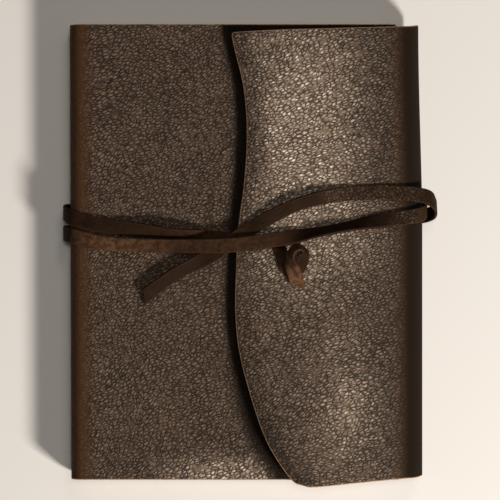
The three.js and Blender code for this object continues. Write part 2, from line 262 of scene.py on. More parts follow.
def warped(finish, flat, scale, amount):
    """The flat leather's coordinates, pushed about so that the grain flows."""
    push = finish.noise(flat, scale, 2.0, 0.5, "Color")
    push = finish.vector("SUBTRACT", push, (0.5, 0.5, 0.5))
    push = finish.vector("MULTIPLY", push, (amount, amount, 0))
    return finish.vector("ADD", flat, push)


def pebbled(finish, flat, grain):
    """The grain: its own coordinates, the pebbles' tops between creases that take painted shade, the
    mask for the painted highlight on each pebble's crown, and the relief."""
    flow = warped(finish, warped(finish, flat, 18, 12 * MM), 260, 0.8 * MM)
    turn = {"Vector": flow, "Angle": GRAIN_SLANT}
    slanted = finish.node("ShaderNodeVectorRotate", 0, turn, rotation_type="Z_AXIS")
    stretched = finish.vector("MULTIPLY", slanted, PEBBLE_SHAPE)
    borders = finish.voronoi(stretched, 1 / grain, "DISTANCE_TO_EDGE")
    centres = finish.voronoi(stretched, 1 / grain, "F1")
    patches = finish.noise(flat, 50, 3.0, 0.55)
    lump = finish.noise(flow, 460, 2.0, 0.5)
    pebbles = finish.ramp(borders, 0.0, finish.ramp(patches, 0.3, 0.7, 0.31, 0.21))
    faint = finish.ramp(finish.noise(flow, 330, 2.0, 0.6), 0.45, 0.65, 0.0, 0.65)
    pebbles = finish.math("MAXIMUM", pebbles, faint)
    tops = finish.times(pebbles, finish.ramp(lump, 0.25, 0.6, 0.55, 1.0))
    painted_crown_highlights = finish.times(finish.ramp(centres, 0.1, 0.5, 1.0, 0.0), finish.ramp(lump, 0.36, 0.62))
    height = finish.plus(finish.times(finish.ramp(borders, 0.0, 0.34), 0.5), finish.times(lump, 0.55))
    return stretched, tops, painted_crown_highlights, finish.times(height, finish.ramp(patches, 0.3, 0.7, 1.1, 0.8))


def grain_leather():
    """Pebbles with painted shade in their creases, smoother over the folds, glossier on the flap under
    a painted highlight, and painted shade at the fore-edge and beside the flap's free edge.
    """
    finish = Finish("cover_leather_grain")
    calm, polish_and_painted_highlight, painted_shade = (finish.attribute(name, "Fac") for name in ("calm", "polish_and_painted_highlight", "painted_shade"))
    stretched, tops, painted_crown_highlights, height = pebbled(finish, finish.attribute("flat"), GRAIN)
    fine = finish.noise(stretched, 1500, 2.0, 0.55)
    height = finish.plus(height, finish.times(fine, 0.14))
    finish.bump(finish.times(height, finish.ramp(calm, 0.0, 1.0, 1.0, 0.15)), 0.5 * MM)
    # Painted shade: the creases between the pebbles get the dark colour, and each pebble's crown is
    # painted paler as a highlight.
    color = finish.mix(tops, srgb(27, 20, 15), srgb(87, 70, 57))
    color = finish.mix(finish.times(painted_crown_highlights, 0.6), color, srgb(118, 100, 86))
    # Painted highlight: the polished flap is painted paler where the light would catch it.
    painted_highlight = finish.times(polish_and_painted_highlight, finish.ramp(tops, 0.1, 0.9, 0.12, 0.8))
    color = finish.mix(painted_highlight, color, srgb(166, 147, 129))
    # Painted glints: near-white spots on the crowns of the polished pebbles, standing in for sparkles
    # of light.
    chance = finish.noise(stretched, 300, 2.0, 0.6)
    glints = finish.times(finish.times(painted_crown_highlights, finish.ramp(chance, 0.36, 0.58)), tops)
    glare = finish.times(finish.times(polish_and_painted_highlight, glints), 0.95)
    color = finish.mix(glare, color, srgb(255, 246, 230))
    color = finish.mix(finish.times(calm, 0.9), color, srgb(66, 41, 18))
    # Painted shade: the fore-edge and the cover beside the flap's free edge are darkened in colour.
    color = finish.mix(painted_shade, color, srgb(13, 7, 3))
    rough = finish.ramp(tops, 0.0, 1.0, 0.62, 0.46)
    rough = finish.math("SUBTRACT", rough, finish.times(polish_and_painted_highlight, 0.12))
    rough = finish.plus(rough, finish.times(calm, 0.3))
    rough = finish.math("MAXIMUM", rough, painted_shade)
    finish.shader.inputs["Specular Tint"].default_value = (1, 0.88, 0.76, 1)
    return finish.surface(color, rough, 0.26)


def flesh_leather(name, dark, light, nap_height):
    """The soft inner side of leather."""
    finish = Finish(name)
    flat = finish.attribute("flat")
    nap = finish.noise(flat, 2600, 4.0, 0.7)
    clouds = finish.noise(flat, 90, 3.0, 0.6)
    color = finish.mix(finish.ramp(clouds, 0.3, 0.7), srgb(*dark), srgb(*light))
    color = finish.mix(finish.ramp(nap, 0.35, 0.75, 0.0, 0.35), color, srgb(*light))
    finish.bump(nap, nap_height)
    finish.shader.inputs["Sheen Weight"].default_value = 0.25
    finish.shader.inputs["Sheen Roughness"].default_value = 0.6
    return finish.surface(color, 0.92, 0.3)


def cut_edge():
    """The raw cut edge, where the layers of the hide show."""
    finish = Finish("cover_leather_cut_edge")
    flat = finish.attribute("flat")
    fibres = finish.noise(finish.vector("MULTIPLY", flat, (1, 1, 5)), 1500, 3.0, 0.65)
    patches = finish.noise(flat, 120, 2.0, 0.5)
    color = finish.mix(finish.ramp(fibres, 0.3, 0.7), srgb(112, 82, 56), srgb(190, 152, 114))
    color = finish.mix(finish.ramp(patches, 0.5, 0.75, 0.0, 0.6), color, srgb(72, 46, 29))
    finish.bump(fibres, 0.12 * MM)
    return finish.surface(color, 0.85, 0.3)


def lace_leather():
    """Matt and streaky on its flesh side, paler in places, which is partly painted light where the
    lace is lit, and pebbled on its grain side.
    """
    finish = Finish("lace_leather")
    flat = finish.attribute("flat")
    edge, pale_and_painted_light, grained = (finish.attribute(name, "Fac") for name in ("edge", "pale_and_painted_light", "grained"))
    streaks = finish.noise(finish.vector("MULTIPLY", flat, (0.25, 1, 1)), 1100, 3.0, 0.6)
    clouds = finish.noise(flat, 60, 3.0, 0.6)
    fine = finish.noise(flat, 3200, 3.0, 0.6)
    mottle = finish.noise(flat, 420, 4.0, 0.65)
    color = finish.mix(finish.ramp(clouds, 0.32, 0.7), srgb(21, 12, 7), srgb(37, 24, 15))
    color = finish.mix(finish.ramp(streaks, 0.4, 0.75, 0.0, 0.3), color, srgb(52, 35, 23))
    # Painted light: this paler colour is laid where the lace is lit, and on the knot's end.
    painted_shading = finish.mix(finish.ramp(mottle, 0.36, 0.64), srgb(60, 39, 26), srgb(98, 71, 52))
    color = finish.mix(finish.times(pale_and_painted_light, 0.9), color, painted_shading)
    _, tops, painted_crown_highlights, relief = pebbled(finish, flat, 0.75 * GRAIN)
    # Painted shade in the lace's creases and a painted highlight on each pebble's crown.
    grain_color = finish.mix(tops, srgb(20, 13, 9), srgb(66, 51, 40))
    grain_color = finish.mix(finish.times(painted_crown_highlights, 0.6), grain_color, srgb(116, 96, 78))
    color = finish.mix(finish.times(grained, 0.85), color, grain_color)
    color = finish.mix(finish.times(edge, 0.4), color, srgb(62, 38, 25))
    height = finish.plus(finish.times(streaks, 0.4), finish.times(fine, 0.6))
    height = finish.plus(height, finish.times(mottle, 0.8))
    height = finish.plus(height, finish.times(finish.times(relief, grained), 2.5))
    finish.bump(height, 0.12 * MM)
    rough = finish.ramp(clouds, 0.3, 0.7, 0.66, 0.78)
    rough = finish.math("SUBTRACT", rough, finish.times(grained, 0.22))
    finish.shader.inputs["Specular Tint"].default_value = (1, 0.76, 0.55, 1)
    return finish.surface(color, rough, 0.1)


def paper():
    """Cream uncoated paper, faintly clouded."""
    finish = Finish("page_paper")
    place = finish.place()
    fibres = finish.noise(place, 900, 4.0, 0.65)
    tint = finish.noise(place, 35, 2.0, 0.5)
    color = finish.mix(finish.ramp(tint, 0.3, 0.7), srgb(236, 228, 208), srgb(232, 223, 201))
    color = finish.mix(finish.ramp(fibres, 0.5, 0.8, 0.0, 0.2), color, srgb(212, 200, 174))
    finish.bump(fibres, 0.02 * MM)
    return finish.surface(color, 0.93, 0.25)


def board_paper():
    """Dark paper with a pressed linen pattern, over board."""
    finish = Finish("board_paper")
    place = finish.place()
    weave = finish.plus(finish.wave(place, 420, "X", 1.5), finish.wave(place, 420, "Y", 1.5))
    scuffs = finish.noise(place, 70, 4.0, 0.65)
    color = finish.mix(finish.ramp(scuffs, 0.35, 0.75), srgb(38, 36, 37), srgb(60, 56, 54))
    finish.bump(weave, 0.05 * MM)
    return finish.surface(color, 0.75, 0.4)


def lining_cloth():
    """Open-weave bookbinder's cloth."""
    finish = Finish("lining_cloth")
    place = finish.place()
    weave = finish.times(finish.wave(place, 700, "Z"), finish.wave(place, 700, "Y"))
    color = finish.mix(finish.ramp(weave, 0.0, 0.8), srgb(150, 142, 126), srgb(222, 214, 198))
    finish.bump(weave, 0.08 * MM)
    finish.shader.inputs["Sheen Weight"].default_value = 0.2
    return finish.surface(color, 0.95, 0.2)


GRAIN_LEATHER = grain_leather()
FLESH_LEATHER = flesh_leather("cover_leather_flesh_side", (66, 46, 32), (104, 78, 56), 0.06 * MM)
CUT_EDGE = cut_edge()
SLEEVE_LEATHER = flesh_leather("sleeve_leather", (52, 38, 28), (72, 54, 40), 0.04 * MM)
LACE_LEATHER = lace_leather()
PAPER = paper()
BOARD_PAPER = board_paper()
LINING_CLOTH = lining_cloth()


# ---- mesh helpers
def smoothstep(value):
    """An easy rise from 0 to 1 while the value goes from 0 to 1."""
    value = min(max(value, 0.0), 1.0)
    return value * value * (3 - 2 * value)


def store(made, name, values, kind="FLOAT"):
    """Keeps one value for each vertex, for the materials to read."""
    attribute = made.data.attributes.new(name, kind, "POINT")
    field = "vector" if kind == "FLOAT_VECTOR" else "value"
    flat = [part for value in values for part in value] if kind == "FLOAT_VECTOR" else values
    attribute.data.foreach_set(field, flat)


def inside(point, polygon):
    """Whether a line from the point to one side crosses the polygon an odd number of times."""
    x, y = point
    found = False
    for (x1, y1), (x2, y2) in zip(polygon, polygon[1:] + polygon[:1]):
        if (y1 > y) != (y2 > y) and x < x1 + (y - y1) * (x2 - x1) / (y2 - y1):
            found = not found
    return found


def area_of(loop):
    """The area inside a closed outline, below zero where it runs clockwise."""
    return sum(a[0] * b[1] - b[0] * a[1] for a, b in zip(loop, loop[1:] + loop[:1])) / 2


def quarter_arc(x, y, radius, start, steps):
    """A quarter circle round x and y, anticlockwise from the start angle in degrees."""
    angles = [math.radians(start + 90 * i / steps) for i in range(steps + 1)]
    return [(x + radius * math.cos(angle), y + radius * math.sin(angle)) for angle in angles]


def spread(start, end, step):
    """Even values from start to end, step or less apart."""
    count = max(1, math.ceil(abs(end - start) / step))
    return [start + (end - start) * i / count for i in range(count + 1)]


def resampled(corners, step):
    """The closed outline with a point every step or less, keeping its corners."""
    points = []
    for (x1, y1), (x2, y2) in zip(corners, corners[1:] + corners[:1]):
        pieces = max(1, math.ceil(math.hypot(x2 - x1, y2 - y1) / step))
        for i in range(pieces):
            points.append((x1 + (x2 - x1) * i / pieces, y1 + (y2 - y1) * i / pieces))
    return points


def hermite(p1, p2, m1, m2, t):
    """A point on the cubic from p1 to p2 that leaves along m1 and arrives along m2."""
    return p1 + m1 * t + (3 * (p2 - p1) - 2 * m1 - m2) * t * t + (2 * (p1 - p2) + m1 + m2) * t**3


def eased(p0, p1, p2, p3, t):
    """A point on the uniform Catmull-Rom curve between p1 and p2."""
    return hermite(p1, p2, (p2 - p0) / 2, (p3 - p1) / 2, t)


def through(points, steps):
    """A smooth line through 2-D points."""
    ends = [points[0]] + points + [points[-1]]
    line = []
    for four in zip(ends, ends[1:], ends[2:], ends[3:]):
        for i in range(steps):
            line.append(tuple(eased(*values, i / steps) for values in zip(*four)))
    line.append(points[-1])
    return line


def face_outwards(made):
    """Turns every face over if the closed mesh has them looking inwards."""
    total = 0.0
    for face in made.data.polygons:
        corners = [made.data.vertices[i].co for i in face.vertices]
        for b, c in zip(corners[1:], corners[2:]):
            total += corners[0].dot(b.cross(c))
    if total < 0:
        made.data.flip_normals()


def sharpen(made, wanted):
    """Marks as sharp the edges whose two vertices are wanted together."""
    for edge in made.data.edges:
        if wanted(frozenset(edge.vertices)):
            edge.use_edge_sharp = True


RIM_STEPS = 6  # facets of the round of a cut edge
RIM_CLEARANCE = 0.35 * MM  # inner points keep this far from the outline


def sheet_of_leather(name, outline, holes, columns, rows, place, thickness, edge, seams, materials):
    """A closed sheet. outline and holes are polygons on the flat hide, in (along, y), and
    columns and rows are where its inner points go. place(along, y, out) gives the point that
    lies out from the middle of the thickness. Its cut edges are rounded and reach edge past the
    outline, and at the seams, which are values of along, it is cut square."""
    points, constraints = [], []
    for loop in [outline, *holes]:
        first = len(points)
        points += loop
        constraints += [(first + i, first + (i + 1) % len(loop)) for i in range(len(loop))]
    boxes = []
    for a, b in constraints:
        (x1, x2), (y1, y2) = (sorted(pair) for pair in zip(points[a], points[b]))
        boxes.append((x1 - RIM_CLEARANCE, x2 + RIM_CLEARANCE, y1 - RIM_CLEARANCE, y2 + RIM_CLEARANCE))

    def clear(point):
        x, y = point
        return not any(x1 < x < x2 and y1 < y < y2 for x1, x2, y1, y2 in boxes)

    def on_hide(point):
        return inside(point, outline) and not any(inside(point, hole) for hole in holes)

    grid = [(along, y) for along in columns for y in rows]
    points += [point for point in grid if on_hide(point) and clear(point)]
    flat, _, triangles, *_ = delaunay_2d_cdt([Vector(p) for p in points], constraints, [], 0, 1e-7)
    flat = [tuple(p) for p in flat]
    kept = []
    for triangle in triangles:
        middle = tuple(sum(flat[i][k] for i in triangle) / 3 for k in range(2))
        if on_hide(middle):
            kept.append(list(triangle))
    return thicken(name, flat, kept, place, thickness, edge, seams, materials)


def outward_directions(flat, rim):
    """For each vertex of the rim, the way out of the sheet, where the sheet is on the rim's left."""
    found = {}
    for a, b in rim:
        dx, dy = flat[b][0] - flat[a][0], flat[b][1] - flat[a][1]
        length = math.hypot(dx, dy)
        for i in (a, b):
            sx, sy = found.get(i, (0.0, 0.0))
            found[i] = (sx + dy / length, sy - dx / length)
    return found


def thicken(name, flat, triangles, place, thickness, edge, seams, materials):
    """Gives the flat triangles their two sides and their rounded or square rim."""
    used = sorted({i for t in triangles for i in t})
    index = {old: new for new, old in enumerate(used)}
    flat = [flat[i] for i in used]
    triangles = [[index[i] for i in t] for t in triangles]
    count = len(flat)
    half = thickness / 2
    coordinates = [(s, y, side) for side in (half, -half) for s, y in flat]
    # Which way the outer face looks
    a, b, c = (place(*coordinates[i]) for i in triangles[0])
    outward = a - place(*coordinates[triangles[0][0] + count])
    flip = (b - a).cross(c - a).dot(outward) < 0
    faces, kinds = [], []
    for t in triangles:
        faces.append(t[::-1] if flip else t)
        faces.append([i + count for i in (t if flip else t[::-1])])
        kinds += [0, 1]
    directed = dict.fromkeys(pair for t in triangles for pair in zip(t, t[1:] + t[:1]))
    rim = [(a, b) for a, b in directed if (b, a) not in directed]

    def on_seam(pair):
        return any(all(abs(flat[i][0] - s) < NEAR for i in pair) for s in seams)

    outward_of = outward_directions(flat, [pair for pair in rim if not on_seam(pair)])
    hand = 1 if sum(area_of([flat[i] for i in t]) for t in triangles) > 0 else -1
    rings = {}
    for i in sorted({i for pair in rim for i in pair}):
        sx, sy = outward_of.get(i, (0.0, 0.0))
        reach = hand * edge / (math.hypot(sx, sy) or 1)
        rings[i] = [i]
        for step in range(1, RIM_STEPS):
            angle = math.pi * step / RIM_STEPS
            out = reach * math.sin(angle)
            rings[i].append(len(coordinates))
            coordinates.append((flat[i][0] + sx * out, flat[i][1] + sy * out, half * math.cos(angle)))
        rings[i].append(i + count)
    for a, b in rim:
        for step in range(RIM_STEPS):
            quad = [rings[b][step], rings[a][step], rings[a][step + 1], rings[b][step + 1]]
            faces.append(quad[::-1] if flip else quad)
            kinds.append(2)
    made = add_mesh(name, [place(*c) for c in coordinates], faces, materials)
    for face, kind in zip(made.data.polygons, kinds):
        face.material_index = kind
    square = {frozenset(pair) for pair in rim if on_seam(pair)}
    square |= {frozenset(i + count for i in pair) for pair in square}
    sharpen(made, lambda pair: pair in square)
    store(made, "flat", coordinates, "FLOAT_VECTOR")
    return made, coordinates


# ---- the cover's leather
class Course:
    """The middle of the leather's thickness, seen from the tail: straight legs and left turns."""

    def __init__(self, x, z, heading):
        self.x, self.z, self.heading = x, z, heading
        self.legs = []
        self.length = 0.0

    def add(self, length, radius):
        self.legs.append((self.length, length, radius, self.x, self.z, self.heading))
        self.x, self.z, self.heading = self.on_leg(self.legs[-1], length)
        self.length += length
        return self.length

    def straight(self, length):
        return self.add(length, None)

    def quarter(self, radius):
        return self.add(radius * math.pi / 2, radius)

    @staticmethod
    def on_leg(leg, distance):
        _, _, radius, x, z, heading = leg
        if radius is None:
            return x + math.cos(heading) * distance, z + math.sin(heading) * distance, heading
        turned = heading + distance / radius
        x += radius * (math.sin(turned) - math.sin(heading))
        z += radius * (math.cos(heading) - math.cos(turned))
        return x, z, turned

    def at(self, along):
        leg = self.legs[0]
        for candidate in self.legs:
            if along >= candidate[0]:
                leg = candidate
        return self.on_leg(leg, along - leg[0])

    def bend(self, along):
        """1 in the middle of a turn, 0 on the flat."""
        for start, length, radius, *_ in self.legs:
            if radius is not None and start <= along <= start + length:
                return math.sin(math.pi * (along - start) / length)
        return 0.0


SPINE_BEND_X = SPINE_X + SPINE_RADIUS
FORE_BEND_X = FORE_EDGE_X - FORE_EDGE_RADIUS
course = Course(FRONT_END_X, FRONT_Z, math.pi)
FRONT_BEND = course.straight(FRONT_END_X - SPINE_BEND_X)
SPINE_TOP = course.quarter(SPINE_RADIUS)
SPINE_BOTTOM = course.straight(FRONT_Z - BACK_Z - 2 * SPINE_RADIUS)
BACK_START = course.quarter(SPINE_RADIUS)
BACK_END = course.straight(FORE_BEND_X - SPINE_BEND_X)
FORE_BOTTOM = course.quarter(FORE_EDGE_RADIUS)
FORE_TOP = course.straight(FLAP_Z - BACK_Z - 2 * FORE_EDGE_RADIUS)
FLAP_START = course.quarter(FORE_EDGE_RADIUS)
course.straight(FORE_BEND_X + 0.03)

SPINE_SEAM = (SPINE_TOP + SPINE_BOTTOM) / 2
BACK_SEAM = (BACK_START + BACK_END) / 2
FORE_SEAM = (FORE_BOTTOM + FORE_TOP) / 2


def flap_x(along):
    """From a place along the hide to its x on the closed flap; flap_along is the way back."""
    return FORE_BEND_X - (along - FLAP_START)


def flap_along(x):
    return FLAP_START + FORE_BEND_X - x


def lean(x, y):
    """The notebook isn't quite square: it narrows towards the head at the fore-edge."""
    share = min(max((x - SPINE_X) / (FORE_EDGE_X - SPINE_X), 0.0), 1.0)
    at_fore_edge = -1.9 * MM * smoothstep((y - 0.016) / (HEAD_Y - 0.016)) ** 0.8
    up = (y - TAIL_Y) / (HEAD_Y - TAIL_Y)
    at_spine = (0.25 - 0.75 * up) * MM
    return at_spine * (1 - share) ** 3 + at_fore_edge * share**3


def ripple(x, y, seed, size):
    """A slow rise and fall of soft leather, from -1 to 1."""
    return noise.noise(Vector((x / size, y / size, seed)))


# The flap's free edge swells towards the spine in two places and sweeps away to a low corner
FLAP_FREE_EDGE = [
    (16.2, 106.9),
    (-7.2, 105.7),
    (-8.4, 104.5),
    (-7.5, 98.5),
    (-2.9, 78.8),
    (-1.5, 56.8),
    (-2.9, 34),
    (-5.6, 14),
    (-6.8, -8),
    (-7, -30),
    (-4.5, -49.6),
    (2.7, -75.3),
    (9.3, -91.5),
    (19.3, -106.4),
    (25.2, -109.4),
    (31.4, -110.1),
    (49.5, -108.4),
]
SLIT = (13.0, 4.2, 8.0, 2.2)  # middle x and y, width and height
SLIT_MARGIN = 0.2 * MM
BEYOND_FLAP_X = -0.0095


def from_route(x, y):
    return x * MM + ROUTE_ZERO.x, y * MM + ROUTE_ZERO.y


FLAP_EDGE_POINTS = [from_route(*point) for point in FLAP_FREE_EDGE]


def flap_edge_x(y):
    """Where the flap's free edge is at this height, between its two corners."""
    points = FLAP_EDGE_POINTS[2:14]
    if y >= points[0][1]:
        return points[0][0]
    for (x1, y1), (x2, y2) in zip(points, points[1:]):
        if y2 <= y <= y1:
            return x1 + (x2 - x1) * (y1 - y) / (y1 - y2)
    return points[-1][0]


def bell(value, middle, width):
    """1 at the middle, falling away smoothly to both sides."""
    return math.exp(-(((value - middle) / width) ** 2))


def flap_rise(x, y):
    """How the soft flap swells just inside its free edge and lifts at its low corner."""
    inward = max(x - flap_edge_x(y), 0.0)
    under_lace = bell(y, 0.010, 0.026)
    rolled = smoothstep((inward + 0.001) / 0.014)
    edge = 1.1 * MM * bell(inward, 0, 0.012) * (1 - bell(y, 0.008, 0.022))
    crown = 2.4 * MM * rolled * (1 - 0.8 * smoothstep((inward - 0.013) / 0.060))
    lift = 1.6 * MM * bell(x, 0.014, 0.022) * bell(y, -0.098, 0.022)
    waves = 0.5 * MM * ripple(x, y, 3.1, 0.045) * (1 - under_lace)
    at_fold = smoothstep((FORE_BEND_X - x) / 0.02)
    return (0.3 * MM + crown * (1 - 0.9 * under_lace) + lift + edge + waves) * at_fold


def cover_rise(x, y):
    """The front cover is padded by the pages, and dips where the lace holds it."""
    under_lace = bell(y, 0.006, 0.02)
    from_spine = smoothstep((x - SPINE_BEND_X) / 0.02)
    swell = 0.3 * MM * ripple(x, y, 7.7, 0.05) - 0.15 * MM
    hidden = 1 - smoothstep((x + 0.012) / 0.01)
    return swell * (1 - under_lace) * from_spine * hidden


def place_leather(along, y, out):
    """The closed cover's leather, out from the middle of its thickness."""
    x, z, heading = course.at(along)
    if along < FRONT_BEND:
        out += cover_rise(x, y)
    elif along > FLAP_START:
        out += flap_rise(x, y)
    return Vector((x + math.sin(heading) * out + lean(x, y), y, z - math.cos(heading) * out))


def tail_of(along):
    """The tail edge runs up a little towards the fore-edge."""
    share = smoothstep((along - (BACK_END - 0.03)) / 0.035)
    return TAIL_Y + (FORE_EDGE_TAIL_Y - TAIL_Y) * share


FLAT_STEP = 2.2 * MM
TURN_STEP = 0.8 * MM


def columns_between(start, end):
    """Places along the hide, closer together in the turns than on the flat."""
    found = []
    marks = [start]
    for leg_start, length, *_ in course.legs:
        marks += [leg_start, leg_start + length]
    marks = sorted({min(max(mark, start), end) for mark in marks + [end]})
    for low, high in zip(marks, marks[1:]):
        turning = course.bend((low + high) / 2) > 0
        found += spread(low, high, TURN_STEP if turning else FLAT_STEP)
    return sorted(set(found))


ROWS = spread(TAIL_Y - 3 * MM, HEAD_Y, FLAT_STEP)
EDGE = 0.45 * MM  # how far out the round of a cut edge reaches
COVER_FINISHES = [GRAIN_LEATHER, FLESH_LEATHER, CUT_EDGE]


def calm_at(s, _):
    """Where the leather is pulled smooth over a fold."""
    over_fold = smoothstep(course.bend(s) * 1.6)
    beside_spine = 0.9 * smoothstep((s - FRONT_BEND + 6 * MM) / (6 * MM)) if s < SPINE_TOP else 0
    beside_flap = 0.9 - 0.9 * smoothstep((s - FLAP_START) / (8 * MM)) if s > FORE_TOP else 0
    return max(over_fold, beside_spine, beside_flap)


def polish_and_painted_highlight_at(s, y):
    """Where the flap, and the front cover beside it at the tail, are a little glossier and carry a
    painted highlight.
    """
    x = flap_x(s)
    on_flap = smoothstep((s - FLAP_START + 0.004) / 0.03)
    reach = (7 + 6 * bell(y, 0.056, 0.028)) * MM
    on_flap *= 0.2 + 0.8 * smoothstep((x - flap_edge_x(y) - 1 * MM) / reach)
    # The painted highlight is strongest in these three places on the flap, and on the front cover
    # beside the flap at the tail.
    upper = bell(x, 0.024, 0.027) * bell(y, 0.060, 0.050)
    middle = 0.5 * bell(x, 0.035, 0.028) * bell(y, 0.008, 0.020)
    lower = 0.55 * bell(x, 0.050, 0.014) * bell(y, -0.072, 0.026)
    front_x = FRONT_END_X - s
    beside = 0.95 * bell(front_x, -0.012, 0.022) * bell(y, -0.104, 0.007) if s < FRONT_BEND else 0
    return min(1.0, on_flap * (0.08 + upper + middle + lower) + beside)


def painted_shade_at(s, y):
    """Painted shade: darkest at the fore-edge and fading onto the flap, a painted shadow on the cover
    beside the flap's free edge, and darker just inside that edge near the tail.
    """
    after_back = smoothstep((s - BACK_END + 4 * MM) / (12 * MM))
    before_flap = 1 - smoothstep((s - FLAP_START + 2 * MM) / (9 * MM))
    fading = 0.3 * (1 - smoothstep((s - FLAP_START) / (36 * MM)))
    near_tail = smoothstep((-0.035 - y) / 0.05)
    painted_shading = 0.0
    # Painted shadow of the flap's free edge on the front cover, and painted shade just inside that
    # edge near the tail.
    if s < FRONT_BEND:
        outside = flap_edge_x(y) - (FRONT_END_X - s)
        painted_shading = 0.95 * (1 - smoothstep((outside - (2.5 + 3.5 * near_tail) * MM) / (6 * MM)))
    elif s > FLAP_START:
        within = flap_x(s) - flap_edge_x(y)
        painted_shading = 0.5 * near_tail * (1 - smoothstep((within - 1 * MM) / (11 * MM)))
    return max(0.95 * after_back * before_flap, fading * after_back, painted_shading)


def cover_leather(name, outline, holes, columns, seams):
    """A stretch of the cover, with the tones that its material reads, painted highlight and painted
    shade among them.
    """
    made, coordinates = sheet_of_leather(
        name, outline, holes, columns, ROWS, place_leather, LEATHER, EDGE, seams, COVER_FINISHES
    )
    for tone, tone_at in (("calm", calm_at), ("polish_and_painted_highlight", polish_and_painted_highlight_at), ("painted_shade", painted_shade_at)):
        store(made, tone, [tone_at(s, y) for s, y, _ in coordinates])
    return made


def cover_panel(name, start, end, seams):
    """The full height of the cover, from one place along the hide to another."""
    low = start if start in seams else start + EDGE
    high = end if end in seams else end - EDGE
    columns = [s for s in columns_between(start, end) if low < s < high]
    tail = [(s, tail_of(s) + EDGE) for s in [low, *columns, high]]
    head = [(s, HEAD_Y - EDGE) for s in [high, *reversed(columns), low]]
    made = cover_leather(name, resampled(tail + head, FLAT_STEP), [], columns, seams)
    return made


def slit_outline():
    """A small oblong with its corners cut off, for the lace to come out of."""
    x, y, width, height = SLIT
    middle_x, middle_y = from_route(x, y)
    half = [(-0.5, -0.3), (-0.35, -0.5), (0.35, -0.5), (0.5, -0.3)]
    corners = half + [(-u, -v) for u, v in half]
    across = width * MM + 2 * SLIT_MARGIN
    up = height * MM + 2 * SLIT_MARGIN
    corners = [(flap_along(middle_x + u * across), middle_y + v * up) for u, v in corners]
    return resampled(corners, 0.8 * MM)


def flap_panel():
    """From the middle of the fore-edge round to the free edge, with the slit for the lace."""
    edge_points = [(flap_along(x), y) for x, y in FLAP_EDGE_POINTS]
    turn_columns = [s for s in columns_between(FORE_SEAM, FLAP_START) if FORE_SEAM <= s <= FLAP_START]

    def run_in(s, rise):
        return rise * smoothstep((s - FORE_SEAM) / (FLAP_START - FORE_SEAM))

    tail = [(s, FORE_EDGE_TAIL_Y + run_in(s, -1.0 * MM)) for s in turn_columns]
    head = [(s, HEAD_Y + run_in(s, -1.3 * MM)) for s in reversed(turn_columns)]
    outline = tail + through(edge_points[1:], 8)[::-1] + edge_points[:1] + head
    outline = inset(resampled(outline, 1.6 * MM), EDGE, FORE_SEAM)
    columns = columns_between(FORE_SEAM, flap_along(BEYOND_FLAP_X))
    columns = [s for s in columns if s > FORE_SEAM + NEAR]
    made = cover_leather("flap", outline, [slit_outline()], columns, [FORE_SEAM])
    return made


def inset(loop, distance, seam):
    """The outline moved in by a distance, except at the seam."""
    hand = 1 if area_of(loop) > 0 else -1
    moved = []
    for before, here, after in zip(loop[-1:] + loop[:-1], loop, loop[1:] + loop[:1]):
        px, py = 0.0, 0.0
        for a, b in ((before, here), (here, after)):
            if abs(a[0] - seam) >= NEAR or abs(b[0] - seam) >= NEAR:
                length = math.dist(a, b)
                px -= hand * (b[1] - a[1]) / length
                py += hand * (b[0] - a[0]) / length
        length = math.hypot(px, py)
        if length == 0:
            moved.append(here)
        elif abs(here[0] - seam) < NEAR:
            moved.append((here[0], here[1] + distance * (1 if py > 0 else -1)))
        else:
            moved.append((here[0] + distance * px / length, here[1] + distance * py / length))
    return moved


def build_cover():
    front = cover_panel("front_cover", 0, SPINE_SEAM, [SPINE_SEAM])
    spine = cover_panel("spine_and_back", SPINE_SEAM, BACK_SEAM, [SPINE_SEAM, BACK_SEAM])
    back = cover_panel("back_and_fore_edge", BACK_SEAM, FORE_SEAM, [BACK_SEAM, FORE_SEAM])
    flap = flap_panel()
    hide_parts("front_cover_leather", "spine_front_fold")
    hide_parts("spine_leather", "spine_back_fold")
    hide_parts("back_cover_leather", "fore_edge_back_fold")
    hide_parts("flap_leather", "flap_fold", "fore_edge_leather")
    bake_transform(front)
    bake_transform(spine)
    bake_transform(back)
    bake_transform(flap)


build_cover()

# ---- the lace
LACE_WIDTH = 0.0070
LACE = 0.0013  # thickness
LACE_ROUNDING = 0.42 * MM
CORNER_STEPS = 3
ACROSS_SHARES = (0.38, 0.2, 0, -0.2, -0.38)  # where the flat faces have points, of the width
# Stops on the route, in metres: x, y, z and the way that the lace's outer face looks
FIRST_TURN = [
    (0.0094, 0.0030, 0.0216, UP),
    (0.0040, 0.0042, 0.0216, UP),
    (-0.0048, 0.0062, 0.0216, UP),
    (-0.0120, 0.0074, 0.0216, UP),
    (-0.0200, 0.0083, 0.0218, (0, -0.1, 1)),
    (-0.0270, 0.0090, 0.0233, (0, -0.5, 0.87)),
    (-0.0350, 0.0099, 0.0240, (0, -0.75, 0.66)),
    (-0.0450, 0.0110, 0.0236, (0, -0.6, 0.8)),
    (-0.0550, 0.0121, 0.0226, (0, -0.3, 0.95)),
    (-0.0660, 0.0133, 0.0218, (0, -0.08, 1)),
    (-0.0780, 0.0154, 0.0216, UP),
    (-0.0848, 0.0176, 0.0203, (-0.4, 0, 0.9)),
    (-0.0882, 0.0194, 0.0160, LEFT),
    (-0.0889, 0.0204, 0.0110, LEFT),
    (-0.0880, 0.0209, 0.0056, LEFT),
    (-0.0843, 0.0210, 0.0015, (-0.5, 0, -0.85)),
]
UPPER_BACK = [
    (-0.0790, 0.0210, 0.00065, DOWN),
    (-0.0720, 0.0212, 0.00065, DOWN),
    (0.0690, 0.0268, 0.00065, DOWN),
    (0.0760, 0.0270, 0.00065, DOWN),
]
